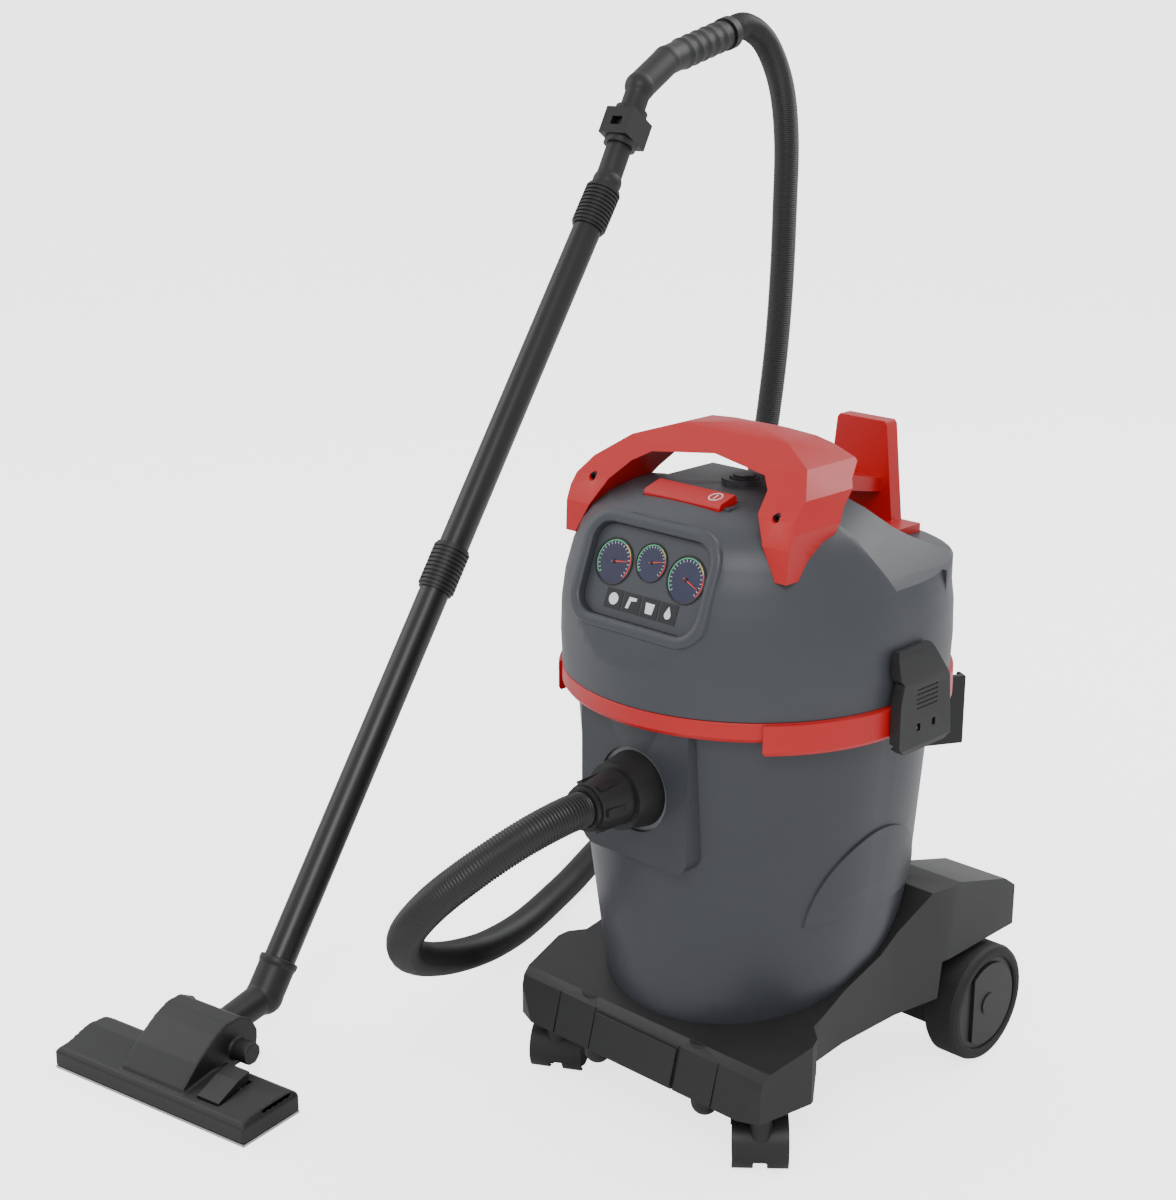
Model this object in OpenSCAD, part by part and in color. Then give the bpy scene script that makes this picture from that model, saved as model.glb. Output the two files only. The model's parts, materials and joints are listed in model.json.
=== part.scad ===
// Shop vacuum on a four-wheel chassis, with a hose, a bent hand tube,
// two push-fit wand tubes and a floor nozzle.
// +Z is up, the inlet and the swivel casters are at the front (-Y),
// and the floor is z = 0. All sizes are millimetres.

/* [Tank] */
// Radius of the tank's seam at the front
rim_r = 200; // [185:1:230]
// How far the round rear half sits behind the round front half
stretch = 28; // [10:1:60]
// Height of the tank's floor above the ground
tank_z = 118; // [112:1:124]
// Height of the tank from its floor to the top of its rim
tank_h = 368; // [320:1:460]
// Outer radius near the tank's floor
tank_r_low = 150; // [140:1:158]
// Wall of the tank
tank_wall = 3; // [2:0.5:5]

/* [Rim and latches] */
// Height of the red rim band
band_h = 21; // [16:1:30]
// Width of a latch plate
latch_w = 90; // [80:1:100]
// Height of a latch plate
latch_h = 110; // [90:1:120]
// Radius of the latch hinge pins
latch_pin_r = 3; // [2:0.5:4]

/* [Head] */
// Height of the dome above the rim
dome_h = 198; // [170:1:240]
// Wall of the head's shells
shell = 3.5; // [2.5:0.5:5]
// Height of the rear deck above the rim
deck_h = 119; // [100:1:150]
// Width of the control panel
panel_w = 158; // [130:1:170]
// Height of the control panel
panel_h = 96; // [80:1:104]
// Lean of the control panel from upright
panel_tilt = 21; // [12:1:28]
// Width of the rocker switch
switch_w = 103; // [60:1:120]
// Depth of the rocker switch
switch_d = 30; // [22:1:36]

/* [Chassis] */
// Distance of the skirt's front face from the tank's centre
skirt_y = 184; // [176:1:210]
// Height of the skirt's lower edge
skirt_z = 76; // [70:1:84]
// Wall of the chassis
deck = 5; // [4:0.5:7]
// Radius of a rear wheel
wheel_r = 69; // [60:1:72]
// Width of a rear wheel
wheel_w = 44; // [30:1:50]
// Outer face of a rear wheel from the middle
wheel_x = 189; // [186:1:205]
// Axle position behind the tank's front centre
axle_y = 222; // [214:1:236]
// Radius of the rear axle
axle_r = 6; // [4:0.5:8]
// Swivel position of a caster from the middle
caster_x = 150; // [140:1:158]
// Swivel position of a caster towards the front
caster_y = 142; // [134:1:150]
// Radius of a caster wheel
caster_r = 25; // [20:0.5:26]

/* [Hose and wand] */
// Outer diameter of the hose
hose_d = 38; // [30:1:42]
// Bore of the hose
hose_bore = 32; // [24:1:36]
// Distance of the inlet's axis below the top of the tank
inlet_drop = 86; // [81:1:96]
// Outer radius of a wand tube
tube_r = 19; // [16:0.5:21]
// Wall of a wand tube
tube_wall = 1.6; // [1:0.2:2.5]
// Visible length of one wand tube with its sleeve
tube_l = 526; // [420:1:560]
// Length of a ribbed sleeve
sleeve_l = 61; // [48:1:80]
// Radial clearance of a turning push fit
fit_gap = 0.05; // [0.02:0.01:0.1]

/* [Floor nozzle] */
// Width of the floor nozzle
nozzle_w = 296; // [240:1:360]
// Depth of the floor nozzle, front to back
nozzle_d = 88; // [76:1:100]
// Radius of the nozzle's tilting barrel
barrel_r = 30; // [26:0.5:32]

/* [Hidden] */
$fn = 96;

grey = [0.33, 0.34, 0.36];
tank_grey = [0.29, 0.30, 0.33];
red = [0.80, 0.13, 0.12];
black = [0.10, 0.10, 0.11];
pale = [0.72, 0.73, 0.74];

// The origin is the middle of the footprint of the whole set.
place = [202.75, -55.7, 0];

rim_z = tank_z + tank_h;
band_z = rim_z - 9;
inlet_z = rim_z - inlet_drop;
band_top = band_z + band_h;
head_z = band_top + 1;
dome_z = head_z + dome_h;
deck_z = head_z + deck_h;
tank_r_top = rim_r - 16;
tank_r_mid = (tank_r_low + tank_r_top) / 2 + 2;
flange_r = rim_r - 10;
seal_h = 4;
base_gap = 0.3;

// Half outline of the tank, radius against height, taken in by d.
function tank_pts(d) = [
    [0, tank_z + d], [tank_r_low - 10 - d, tank_z + d],
    [tank_r_low - 2 - d, tank_z + 8 + d], [tank_r_low + 4 - d, tank_z + 0.125 * tank_h],
    [tank_r_mid - d, tank_z + 0.45 * tank_h], [tank_r_top - 3 - d, tank_z + 0.89 * tank_h],
    [tank_r_top - d, rim_z - 4], [tank_r_top - d, rim_z + d / 2], [0, rim_z + d / 2]];

// Half outline of the head's dome, taken in by d.
function dome_pts(d) = [
    [0, head_z], [rim_r - 0.5 - d, head_z], [rim_r + 1 - d, head_z + 0.18 * dome_h],
    [rim_r - d, head_z + 0.36 * dome_h], [rim_r - 4 - d, head_z + 0.51 * dome_h],
    [rim_r - 12 - d, head_z + 0.66 * dome_h], [rim_r - 22 - d, head_z + 0.79 * dome_h],
    [rim_r - 33 - d, head_z + 0.87 * dome_h - d], [rim_r - 50 - d, head_z + 0.93 * dome_h - d],
    [rim_r - 75 - d, head_z + 0.975 * dome_h - d], [rim_r - 105 - d, dome_z - d],
    [0, dome_z - d]];

// A turned shape whose rear half is moved back by the stretch.
module oval_turn(s = stretch) {
    rotate([0, 0, 180]) rotate_extrude(angle = 180) children();
    translate([0, s, 0]) rotate_extrude(angle = 180) children();
    for (side = [0, 1])
        mirror([side, 0, 0])
            translate([0, s, 0])
                rotate([90, 0, 0]) linear_extrude(s) children();
}

// A bar of width w along X whose side view (Y, Z) is given by points.
module side_bar(w, points) {
    translate([-w / 2, 0, 0]) rotate([90, 0, 90]) linear_extrude(w) polygon(points);
}

module ring(r_out, r_in, h) {
    difference() {
        cylinder(r = r_out, h = h);
        translate([0, 0, -1]) cylinder(r = r_in, h = h + 2);
    }
}

module along_x(x) { translate([x, 0, 0]) rotate([0, 90, 0]) children(); }
module along_y(y) { translate([0, y, 0]) rotate([-90, 0, 0]) children(); }

module round_plate(w, h, r, t) {
    linear_extrude(t) {
        square([w - 2 * r, h], center = true);
        square([w, h - 2 * r], center = true);
        for (x = [-1, 1], y = [-1, 1])
            translate([x * (w / 2 - r), y * (h / 2 - r)]) circle(r = r);
    }
}

module tank_solid(d = 0) { oval_turn() polygon(tank_pts(d)); }

// ---- Chassis ----

foot_x = 79;
foot_y = 150;
axle_box_in = 96;
axle_box_out = wheel_x - wheel_w - 3;
rear_y = axle_y + wheel_r - 3;
cheek_x = wheel_x - 11;
rail_z = 237;

// Side view of the deck: low skirt, rising rails, box above the wheel.
function deck_pts(d) = [
    [-skirt_y + d, d > 0 ? 0 : skirt_z], [-98 - d, d > 0 ? 0 : skirt_z],
    [-93 - d, d > 0 ? 0 : 104], [axle_y - 87 - d, d > 0 ? 0 : 104],
    [axle_y - 82 - d, d > 0 ? 0 : 148], [rear_y - d, d > 0 ? 0 : 148],
    [rear_y - d, 190 - d], [axle_y + 36 - d, 211 - d],
    [axle_y - 56, rail_z - d], [axle_y - 102, rail_z - d], [axle_y - 182, 187 - d],
    [-60, 153 - d], [-skirt_y + 22, 130 - d], [-skirt_y + 13 + d, 122 - d]];

// Plan view of the right half.
function plan_pts(d) = [
    [0, -skirt_y - 1 + d], [148 - d, -skirt_y - 1 + d], [174 - d, -skirt_y + 10 + d],
    [186 - d, -104 + d], [182 - d, -92 - d], [166 - d, -78 - d], [161 - d, -20],
    [164 - d, 70], [cheek_x - d, axle_y - 72 + d], [cheek_x - d, rear_y - 10 - d],
    [cheek_x - 10 - d, rear_y - d], [0, rear_y - d]];

module plan_slab(d, z0, z1) {
    for (side = [0, 1])
        mirror([side, 0, 0])
            translate([0, 0, z0]) linear_extrude(z1 - z0) polygon(plan_pts(d));
}

module chassis() {
    color(black) difference() {
        union() {
            difference() {
                intersection() {
                    side_bar(2 * 190, deck_pts(0));
                    plan_slab(0, skirt_z - 10, 240);
                }
                difference() {
                    intersection() {
                        side_bar(2 * 190, deck_pts(deck));
                        plan_slab(deck, -1, 240);
                    }
                    translate([0, 0, tank_z - deck])
                        oval_turn() square([tank_r_mid + deck, 200]);
                }
                // low deck behind the tank
                translate([-95, axle_y - 105, 152]) cube([190, 260, 120]);
            }
            // floor of the low deck
            translate([-96, axle_y - 60, 146]) cube([192, rear_y - axle_y + 60 - deck, 6]);
            // caster sockets and foot bosses
            for (x = [-1, 1]) {
                translate([x * caster_x, -caster_y, skirt_z]) cylinder(r = 14, h = 55);
                translate([x * foot_x, -foot_y, skirt_z]) cylinder(r = 17, h = 54);
            }
            // axle boxes and the inner walls of the wheel boxes
            for (side = [0, 1])
                mirror([side, 0, 0]) {
                    translate([axle_box_in, axle_y - 50, wheel_r - 24])
                        cube([axle_box_out - axle_box_in, 96, 108]);
                    intersection() {
                        translate([axle_box_in - 1, axle_y - 84, 106]) cube([deck, 300, 130]);
                        side_bar(2 * 190, deck_pts(0));
                        translate([0, 0, 100]) cylinder(r = rear_y - 1, h = 200);
                    }
                }
        }
        // seat for the tank
        tank_solid();
        // caster stems
        for (x = [-1, 1])
            translate([x * caster_x, -caster_y, skirt_z - 1])
                cylinder(r = 5.5 + fit_gap, h = 36);
        // axle and wheel arches
        translate([0, axle_y, wheel_r]) along_x(-200) cylinder(r = axle_r, h = 400);
        for (side = [0, 1])
            mirror([side, 0, 0])
                translate([0, axle_y, wheel_r])
                    along_x(wheel_x - wheel_w - 3) cylinder(r = wheel_r + 7, h = 80);
        // groove lines on the skirt
        for (x = [-115, -61, 61, 115])
            side_bar_at(x, 2, [[-skirt_y - 1, skirt_z - 1], [-skirt_y + 1.6, skirt_z - 1],
                [-skirt_y + 14, 123], [-skirt_y + 10, 126]]);
    }
}

module side_bar_at(x, w, points) { translate([x, 0, 0]) side_bar(w, points); }

module skirt_panel() {
    color(black) side_bar(118, [[-skirt_y + 0.85, skirt_z + 3], [-skirt_y - 2, skirt_z + 3],
        [-skirt_y + 9.5, 119], [-skirt_y + 12.15, 119]]);
}

module anti_tip_feet() {
    color(black) for (x = [-1, 1])
        translate([x * foot_x, -foot_y, 0]) {
            translate([0, 0, 56]) cylinder(r = 15, h = skirt_z - 56);
            translate([0, 0, 56]) sphere(r = 15);
        }
}

module rear_axle() {
    color("silver") translate([0, axle_y, wheel_r])
        along_x(-wheel_x + 3) cylinder(r = axle_r, h = 2 * wheel_x - 6);
}

hub_r = wheel_r - 14;

module wheel_hub() {
    in_x = wheel_x - wheel_w;
    color(black) translate([0, axle_y, wheel_r]) difference() {
        union() {
            along_x(in_x) cylinder(r = hub_r, h = wheel_w - 5);
            // raised D cover
            intersection() {
                along_x(wheel_x - 5) cylinder(r = hub_r - 6, h = 3.5);
                translate([wheel_x - 10, -30, -90]) cube([20, 120, 180]);
            }
            along_x(wheel_x - 5) cylinder(r = 13, h = 5);
        }
        along_x(in_x + 8) ring(hub_r - 5, 16, wheel_w - 14.5);
        along_x(in_x - 1) ring(hub_r - 5, 16, 10);
        along_x(in_x - 1) cylinder(r = axle_r + fit_gap, h = wheel_w - 1.4);
    }
}

module wheel_tyre() {
    in_x = wheel_x - wheel_w;
    color([0.06, 0.06, 0.06]) translate([0, axle_y, wheel_r]) along_x(in_x)
        rotate_extrude() polygon([[hub_r, 0], [wheel_r - 4, 0], [wheel_r, 5],
            [wheel_r, wheel_w - 8], [wheel_r - 2, wheel_w - 3.5],
            [wheel_r - 7, wheel_w - 1], [hub_r + 2, wheel_w - 1], [hub_r, wheel_w - 3]]);
}

module wheel_left() { mirror([1, 0, 0]) wheel_hub(); }
module wheel_right() { wheel_hub(); }
module tyre_left() { mirror([1, 0, 0]) wheel_tyre(); }
module tyre_right() { wheel_tyre(); }

// ---- Casters: x is the axle, +y trails behind the swivel ----

trail = 16;
hood_r = caster_r + 4.5;
caster_turn_left = 29;
caster_turn_right = 42;

module caster_fork() {
    color(black) difference() {
        union() {
            translate([0, trail, caster_r]) along_x(-30) cylinder(r = hood_r, h = 60);
            translate([0, 0, caster_r + 15]) cylinder(r = 12, h = skirt_z - 1 - caster_r - 15);
            translate([0, 0, skirt_z - 6]) cylinder(r = 5.5, h = 38);
        }
        for (x = [-31, 4])
            translate([0, trail, caster_r]) along_x(x) cylinder(r = caster_r + 1.2, h = 27);
        translate([0, trail, caster_r]) along_x(-40) cylinder(r = 3 + fit_gap, h = 80);
        translate([-40, -40, -60]) cube([80, 120, 64]);
        translate([-40, trail + 9, -10]) cube([80, 40, caster_r + 12]);
        translate([-7.5, -40, -10]) cube([15, 40 + trail - 4, 24]);
    }
}

module caster_wheels() {
    color([0.06, 0.06, 0.06]) translate([0, trail, caster_r]) {
        for (side = [0, 1])
            mirror([side, 0, 0]) along_x(5.5) rotate_extrude()
                polygon([[0, 0], [caster_r - 2, 0], [caster_r, 2], [caster_r, 20],
                    [caster_r - 3, 23.5], [8, 23.5], [8, 22], [0, 22]]);
        along_x(-10) cylinder(r = 3, h = 20);
    }
}

module at_caster(side, turn) {
    translate([side * caster_x, -caster_y, 0]) rotate([0, 0, turn]) children();
}

module caster_fork_left() { at_caster(-1, caster_turn_left) caster_fork(); }
module caster_fork_right() { at_caster(1, caster_turn_right) caster_fork(); }
module caster_wheels_left() { at_caster(-1, caster_turn_left) caster_wheels(); }
module caster_wheels_right() { at_caster(1, caster_turn_right) caster_wheels(); }

// ---- Tank ----

panel_face = rim_r - 20;
recess_r = 46;
socket_r = 34;
arch_z = rail_z + 19;

module tank() {
    color(tank_grey) difference() {
        union() {
            tank_solid();
            translate([0, 0, rim_z - 6]) oval_turn() square([flange_r, 6]);
            // flat inlet panel with round lower corners
            intersection() {
                union() {
                    translate([-74, -panel_face, inlet_z - 60]) cube([148, 70, band_z - 1 - inlet_z + 60]);
                    translate([-56, -panel_face, inlet_z - 78]) cube([112, 70, 30]);
                    for (x = [-56, 56])
                        translate([x, 0, inlet_z - 60]) along_y(-panel_face) cylinder(r = 18, h = 70);
                }
                translate([0, 0, tank_z]) oval_turn() square([rim_r - 3, tank_h]);
            }
            // raised arches on both sides
            for (side = [0, 1])
                mirror([side, 0, 0])
                    intersection() {
                        translate([0, stretch / 2, arch_z]) along_x(100)
                            cylinder(r = 92, h = 120);
                        oval_turn() polygon(tank_pts(-2.5));
                        translate([0, -200, arch_z]) cube([300, 400, 140]);
                    }
        }
        tank_solid(tank_wall);
        translate([0, 0, inlet_z]) along_y(-panel_face - 5) cylinder(r = recess_r, h = 13);
        translate([0, 0, inlet_z]) along_y(-panel_face - 1) cylinder(r = socket_r, h = 60);
    }
}

module inlet_socket() {
    color(pale) translate([0, 0, inlet_z]) difference() {
        union() {
            along_y(-panel_face + 8) rotate([180, 0, 0]) cylinder(r = recess_r - 0.3, h = 4);
            along_y(-panel_face + 7.9) cylinder(r = socket_r - 0.2, h = 30);
        }
        along_y(-panel_face - 10) cylinder(r = socket_r - 4, h = 60);
    }
}

module inlet_deflector() {
    y0 = -panel_face + 28;
    color(black) translate([0, 0, inlet_z]) difference() {
        along_y(y0) cylinder(r = 42, h = 46);
        along_y(y0 + 4) cylinder(r = 39, h = 39);
        along_y(y0 - 1) cylinder(r = socket_r - 0.2, h = 8);
        translate([-50, y0 + 4, -60]) cube([100, 60, 48]);
    }
}

module rim_ring() {
    color(red) difference() {
        union() {
            oval_turn() polygon([[tank_r_top + 0.5, band_z], [rim_r - 3, band_z],
                [rim_r, band_z + 4], [rim_r, band_top - 1], [rim_r - 1, band_top],
                [tank_r_top + 2, band_top], [tank_r_top + 2, rim_z],
                [flange_r + 0.3, rim_z], [flange_r + 0.3, rim_z - 6], [tank_r_top + 0.5, rim_z - 6]]);
            // deeper band around each latch
            for (side = [0, 1])
                mirror([side, 0, 0])
                    intersection() {
                        oval_turn() polygon([[rim_r - 5, band_z - 13], [rim_r + 1, band_z - 13],
                            [rim_r + 3.5, band_z - 9], [rim_r + 3.5, band_top - 2],
                            [rim_r + 2, band_top - 1], [rim_r - 5, band_top - 1]]);
                        translate([rim_r - 58, -rim_r, band_z - 20]) cube([80, 2 * rim_r, 60]);
                    }
            // hinge ears under the band
            for (side = [0, 1], y = [-1, 1])
                mirror([side, 0, 0])
                    translate([latch_px - 8, latch_y + y * 17 - 3, latch_pz - 5])
                        cube([12.5, 6, band_z - latch_pz + 3]);
        }
        for (side = [-1, 1])
            translate([side * latch_px, 0, latch_pz])
                along_y(-100) cylinder(r = latch_pin_r, h = 300);
    }
}

module rim_seal() {
    color([0.05, 0.05, 0.05]) translate([0, 0, rim_z])
        oval_turn() translate([tank_r_top - 5, 0]) square([6.7, seal_h]);
}

bracket_turn = -30;

module parking_bracket() {
    color(black) difference() {
        translate([0, stretch, 0]) rotate([0, 0, bracket_turn]) difference() {
            translate([-27, tank_r_top - 20, band_z - 98]) cube([54, 66, 80]);
            translate([-19, tank_r_top + 12, band_z - 92]) cube([38, 29, 100]);
            translate([-11, tank_r_top + 30, band_z - 92]) cube([22, 40, 100]);
        }
        tank_solid();
    }
}

// ---- Latches ----

latch_y = stretch / 2 + 11;
latch_px = rim_r + 6;
latch_pz = band_z - 20;
latch_z = latch_pz - 10;

// Side view (Y, Z) of a latch: wide at the hinge, narrow and hooked at the top.
function latch_outline() = [for (p = [[-0.49, 8], [-0.36, 0], [0.4, 0], [0.5, 6],
        [0.43, 70], [0.15, latch_h], [-0.45, latch_h], [-0.6, latch_h - 20],
        [-0.44, latch_h - 33], [-0.56, 34]])
    [latch_y + p[0] * latch_w, latch_z + p[1]]];

module latch() {
    color(black) difference() {
        intersection() {
            side_bar_at(rim_r, 60, latch_outline());
            translate([0, latch_y + latch_w / 2, 0]) rotate([90, 0, 0]) linear_extrude(latch_w)
                polygon([[rim_r + 4.5, latch_z], [rim_r + 15, latch_z], [rim_r + 17, latch_z + 6],
                [rim_r + 17, latch_z + latch_h - 32], [rim_r + 12, latch_z + latch_h - 6],
                [rim_r + 9, latch_z + latch_h], [rim_r + 2.5, latch_z + latch_h],
                [rim_r + 2.5, latch_z + latch_h - 20], [rim_r + 4.5, latch_z + latch_h - 30]]);
        }
        translate([rim_r + 2, latch_y - 26, latch_z - 1]) cube([11.5, 56, latch_h - 36]);
        for (y = [-13, 13])
            translate([rim_r + 10, latch_y + y - 3, latch_z + 22]) cube([12, 6, 8]);
        for (i = [0 : 4])
            translate([rim_r + 16, latch_y - 18, latch_z + 46 + 5 * i]) cube([4, 36, 1.6]);
        translate([latch_px, 0, latch_pz])
            along_y(-100) cylinder(r = latch_pin_r + fit_gap, h = 300);
    }
}

module latch_right() { latch(); }
module latch_left() { mirror([1, 0, 0]) latch(); }

module latch_pins() {
    color("silver") for (side = [-1, 1])
        translate([side * latch_px, 0, latch_pz])
            along_y(latch_y - latch_w / 2 + 7) cylinder(r = latch_pin_r, h = latch_w - 14);
}

// ---- Head ----

panel_y = rim_r - 41;
panel_deep = 9;
panel_z = head_z + 123;
slope_y = 30;

module head_solid(d) {
    difference() {
        intersection() {
            union() {
                oval_turn() polygon(dome_pts(d));
                // the rear stands upright up to the deck
                intersection() {
                    translate([0, 0, head_z])
                        oval_turn() square([rim_r - 3 - d, deck_z - head_z + 4]);
                    translate([-300, 95 + d, head_z - 5]) cube([600, 200, 300]);
                }
            }
            side_bar(600, [[-300, head_z - 5], [-300, dome_z + 20], [slope_y, dome_z + 20],
                [slope_y, dome_z - d], [slope_y + 40, dome_z - 26 - d],
                [slope_y + 80, deck_z + 20 - d], [slope_y + 118, deck_z - d],
                [stretch + rim_r - d, deck_z - 6 - d], [stretch + rim_r + 40, head_z - 5]]);
        }
        // scoops behind the handle's feet
        intersection() {
            side_bar(620, [[-50 - d, dome_z + 20], [-30 - d, dome_z - 40 - d],
                [0, dome_z - 84 - d], [320, dome_z - 90 - d], [320, dome_z + 20]]);
            translate([0, 320, 0]) rotate([90, 0, 0]) linear_extrude(420) for (side = [0, 1])
                mirror([side, 0, 0]) polygon([[78 - d, dome_z + 30], [80 - d, dome_z - 4],
                    [112 - d, dome_z - 50 - d], [165 - d, deck_z - 2 - d],
                    [320, deck_z - 8 - d], [320, dome_z + 30]]);
        }
    }
}

module at_panel() { translate([0, -panel_y, panel_z]) rotate([90 - panel_tilt, 0, 0]) children(); }

module head_cover() {
    color(grey) difference() {
        union() {
            difference() {
                head_solid(0);
                difference() {
                    translate([0, 0, -0.01]) head_solid(shell);
                    at_panel() translate([-150, -110, -shell - 3]) cube([300, 260, 100]);
                }
                // front facet
                at_panel() translate([-150, -110, panel_deep]) cube([300, 260, 100]);
            }
            // posts that carry the switch body
            for (side = [0, 1])
                mirror([side, 0, 0])
                    translate([switch_w / 2, -switch_y - 9, dome_z - 34]) cube([8, 18, 32]);
            // round boss behind the switch
            translate([0, -12, dome_z - 2]) cylinder(r = 24, h = 7);
        }
        // recess for the control panel
        at_panel() round_plate(panel_w, panel_h, 22, 20);
        // opening for the rocker switch
        translate([-switch_w / 2 - 0.5, -switch_y - switch_d / 2 - 0.5, dome_z - 14])
            cube([switch_w + 1, switch_d + 1, 30]);
        // opening for the vent cap in the boss
        translate([0, -12, dome_z - 10]) cylinder(r = 16, h = 30);
        // hole for the cord gland
        translate([-70, 0, head_z + 60]) along_y(stretch + rim_r - 78) cylinder(r = 9, h = 100);
        // side vents at the rear
        for (i = [0 : 5], side = [-1, 1])
            translate([side * (30 + 9 * i) - 2, stretch + rim_r - 28, head_z + 20]) cube([4, 60, 28]);
    }
}

module head_base() {
    z0 = rim_z + seal_h + base_gap;
    color(black) difference() {
        translate([0, 0, z0]) oval_turn() square([tank_r_top + 1.4, head_z - z0]);
        translate([0, 0, z0 - 1]) cylinder(r = 45, h = 30);
        for (a = [45 : 90 : 315])
            rotate([0, 0, a]) translate([80, 0, z0 - 1]) cylinder(r = 2.6, h = 30);
    }
}

module control_panel() {
    color(grey) at_panel() round_plate(panel_w - 1, panel_h - 1, 21.5, 1.5);
}

switch_y = 98;

module switch_body() {
    color(black) translate([-switch_w / 2, -switch_y - switch_d / 2 + 3, dome_z - 34])
        difference() {
            cube([switch_w, switch_d - 6, 22]);
            translate([5, 4, 6]) cube([switch_w - 10, switch_d - 14, 20]);
            translate([2, switch_d / 2 - 3, 18]) rotate([0, 90, 0])
                cylinder(r = 3 + fit_gap, h = switch_w - 4);
        }
}

module switch_rocker() {
    color(red) translate([0, -switch_y, dome_z]) {
        side_bar(switch_w - 1, [[-switch_d / 2 + 1.5, -9], [-switch_d / 2 + 1.5, -2],
            [-switch_d / 2 + 4, 2], [0, 5], [switch_d / 2 - 4, 8], [switch_d / 2 - 1.5, 5],
            [switch_d / 2 - 1.5, -9]]);
        translate([0, 0, -16]) along_x(-switch_w / 2 + 3) cylinder(r = 3, h = switch_w - 6);
        translate([-3, -3, -16]) cube([6, 6, 10]);
    }
}

module vent_cap() {
    color(grey) translate([0, -12, dome_z - 2]) {
        cylinder(r = 15.8, h = 9);
        translate([0, 0, 9]) cylinder(r = 12, h = 1.5);
    }
}

module cord_gland() {
    color(black) translate([-70, 0, head_z + 60]) difference() {
        union() {
            along_y(stretch + rim_r - 36) cylinder(r = 8.9, h = 32);
            along_y(stretch + rim_r - 6) cylinder(r = 12, h = 6);
        }
        along_y(stretch + rim_r - 48) cylinder(r = 4.2, h = 60);
    }
}

screw_x = 124;

// Side view of the handle: fins low at the front, grip high above.
function handle_side() = [
    [-126, dome_z - 58], [-124, dome_z - 25], [-112, dome_z + 3], [-62, dome_z + 37],
    [-32, dome_z + 55], [-8, dome_z + 61], [14, dome_z + 59], [22, dome_z + 50],
    [20, dome_z + 37], [-6, dome_z + 25], [-34, dome_z + 3], [-58, dome_z - 29],
    [-72, dome_z - 58]];

// Half front view (X, Z) of the handle's outside and of the gap under it.
handle_out = [[150, dome_z - 60], [151, dome_z - 10], [143, dome_z + 18], [118, dome_z + 40],
    [70, dome_z + 56], [0, dome_z + 62]];
handle_in = [[137, dome_z - 60], [130, dome_z - 47], [104, dome_z - 2], [92, dome_z + 20],
    [76, dome_z + 30], [0, dome_z + 38]];

function both_sides(half) = concat(half, [for (i = [len(half) - 1 : -1 : 0]) [-half[i][0], half[i][1]]]);

module handle_front() {
    difference() {
        polygon(both_sides(handle_out));
        polygon(concat([[137, dome_z - 80]], both_sides(handle_in), [[-137, dome_z - 80]]));
    }
}

module handle() {
    color(red) difference() {
        intersection() {
            side_bar(400, handle_side());
            translate([0, 100, 0]) rotate([90, 0, 0]) linear_extrude(300) handle_front();
        }
        head_solid(0);
        for (x = [-1, 1])
            translate([x * screw_x, 0, dome_z + 2]) along_y(-150) cylinder(r = 4.5, h = 46);
    }
}

module handle_screws() {
    color("silver") for (x = [-1, 1])
        translate([x * screw_x, 0, dome_z + 2]) difference() {
            along_y(-110) cylinder(r = 4.3, h = 6);
            along_y(-111) cylinder(r = 1.8, h = 4, $fn = 6);
        }
}

post_y = stretch + rim_r - 40;

module hook_post() {
    color(red) difference() {
        union() {
            // base plate on the rear deck
            translate([-74, post_y - 40, deck_z - 8]) cube([148, 56, 14]);
            // upright
            translate([0, post_y + 20, 0]) rotate([90, 0, 0]) linear_extrude(19)
                polygon([[-46, deck_z], [46, deck_z], [34, deck_z + 112], [31, deck_z + 116],
                    [-31, deck_z + 116], [-34, deck_z + 112]]);
            // arm from the grip back to the upright
            side_bar(58, [[14, dome_z + 58], [60, dome_z + 34], [120, deck_z + 68],
                [post_y + 2, deck_z + 52], [post_y + 2, deck_z + 36], [120, deck_z + 50],
                [70, dome_z + 4], [14, dome_z + 40]]);
        }
        head_solid(0);
        handle();
        for (x = [-1, 1])
            translate([x * 58, post_y - 26, deck_z + 2]) cylinder(r = 4, h = 20);
    }
}

// ---- Inside the head and the tank ----

module motor() {
    z0 = head_z + 29;
    color("silver") difference() {
        union() {
            translate([0, 0, z0]) cylinder(r = 58, h = 78);
            translate([0, 0, z0 + 78]) cylinder(r = 40, h = 22);
        }
        translate([0, 0, z0 - 1]) cylinder(r = 5 + fit_gap, h = 90);
        translate([0, 0, z0 + 8]) ring(52, 20, 66);
    }
}

module fan_housing() {
    color(black) translate([0, 0, head_z]) difference() {
        cylinder(r = 78, h = 29);
        translate([0, 0, 3]) cylinder(r = 75, h = 23);
        translate([0, 0, -1]) cylinder(r = 30, h = 10);
        translate([0, 0, 20]) cylinder(r = 8, h = 20);
        translate([60, -14, 5]) cube([40, 28, 18]);
    }
}

module fan_rotor() {
    color("silver") translate([0, 0, head_z + 5]) {
        cylinder(r = 66, h = 2);
        translate([0, 0, 17]) ring(66, 26, 2);
        for (a = [0 : 45 : 315])
            rotate([0, 0, a]) translate([27, -1, 1]) cube([38, 2, 17]);
        cylinder(r = 10, h = 14);
        cylinder(r = 5, h = 100);
    }
}

module float_cage() {
    z1 = rim_z + seal_h + base_gap;
    color(pale) translate([0, 0, z1 - 92]) difference() {
        cylinder(r = 52, h = 92);
        translate([0, 0, 4]) cylinder(r = 49, h = 100);
        for (a = [0 : 30 : 330])
            rotate([0, 0, a]) translate([40, -8, 10]) cube([30, 16, 66]);
    }
}

module float_disc() {
    z1 = rim_z + seal_h + base_gap;
    color("white") translate([0, 0, z1 - 88]) difference() {
        cylinder(r = 46, h = 26);
        translate([0, 0, 3]) cylinder(r = 43, h = 20);
    }
}

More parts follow.
